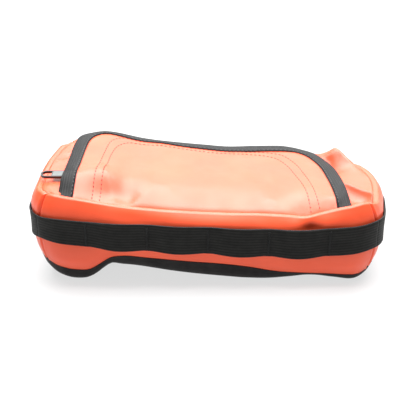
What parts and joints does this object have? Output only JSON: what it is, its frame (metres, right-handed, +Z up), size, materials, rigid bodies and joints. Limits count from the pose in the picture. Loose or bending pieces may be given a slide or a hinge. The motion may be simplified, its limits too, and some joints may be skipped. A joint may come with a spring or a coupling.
{
  "type": "zip pouch",
  "caption": "Low rectangular zip pouch of coated tarpaulin, with a bound flap lid over the zip and a webbing daisy chain round its sides.",
  "frame": {"origin": "centre of the pouch's box on the surface that its base stands on", "axes": "+Z up, +X along the pouch's length, -Y the side that the lid hangs from"},
  "size_m": [0.2951, 0.1546, 0.0876],
  "materials": {
    "tarpaulin": "orange coated tarpaulin, soft sheen, fine grain",
    "base_nylon": "black coated nylon, dull",
    "binding_tape": "black twill tape, silky sheen",
    "webbing": "black ribbed webbing",
    "thread": "black bonded thread",
    "zip_tape": "black woven zip tape",
    "zip_coil": "black nylon coil",
    "zip_metal": "black enamel on zinc",
    "puller_rubber": "black moulded rubber, satin",
    "puller_plate": "brushed, pale grey"
  },
  "bodies": {
    "bag": {"base_panel": "base_nylon", "front_wall": "tarpaulin", "back_wall": "tarpaulin", "left_end_panel": "tarpaulin", "right_end_panel": "tarpaulin", "top_panel": "tarpaulin", "zip_tape_bag": "zip_tape", "zip_coil_bag": "zip_coil", "zip_top_stop_bag": "zip_metal", "zip_bottom_stop": "zip_metal", "front_webbing": "webbing", "right_end_webbing": "webbing", "back_webbing": "webbing", "left_end_webbing": "webbing", "bar_tacks": "thread"},
    "lid": {"lid_panel": "tarpaulin", "lid_binding": "binding_tape", "lid_zip_facing": "tarpaulin", "zip_tape_lid": "zip_tape", "zip_coil_lid": "zip_coil", "zip_top_stop_lid": "zip_metal"},
    "slider": {"slider_body": "zip_metal", "slider_bail": "zip_metal"},
    "puller_loop": {"puller_link": "zip_metal"},
    "puller_tab": {"puller_frame": "puller_rubber", "puller_insert": "puller_plate"}
  },
  "joints": [
    {"name": "lid_hinge", "type": "hinge", "parent": "bag", "child": "lid", "pos_m": [0, -0.0615, 0.0693], "axis": [0.998, 0, -0.0629], "range_deg": [0, 115]},
    {"name": "slider_travel", "type": "slide", "parent": "bag", "child": "slider", "axis": [0, 0.996, 0.0888], "range_m": [0, 0.05]},
    {"name": "puller_swivel", "type": "hinge", "parent": "slider", "child": "puller_loop", "pos_m": [-0.1057, -0.02211, 0.07586], "axis": [0.0893, -0.0885, 0.9921], "range_deg": [-20, 15]},
    {"name": "puller_tilt", "type": "hinge", "parent": "puller_loop", "child": "puller_tab", "pos_m": [-0.11063, -0.02215, 0.0764], "axis": [0, 0.996, 0.0888], "range_deg": [0, 7]}
  ]
}
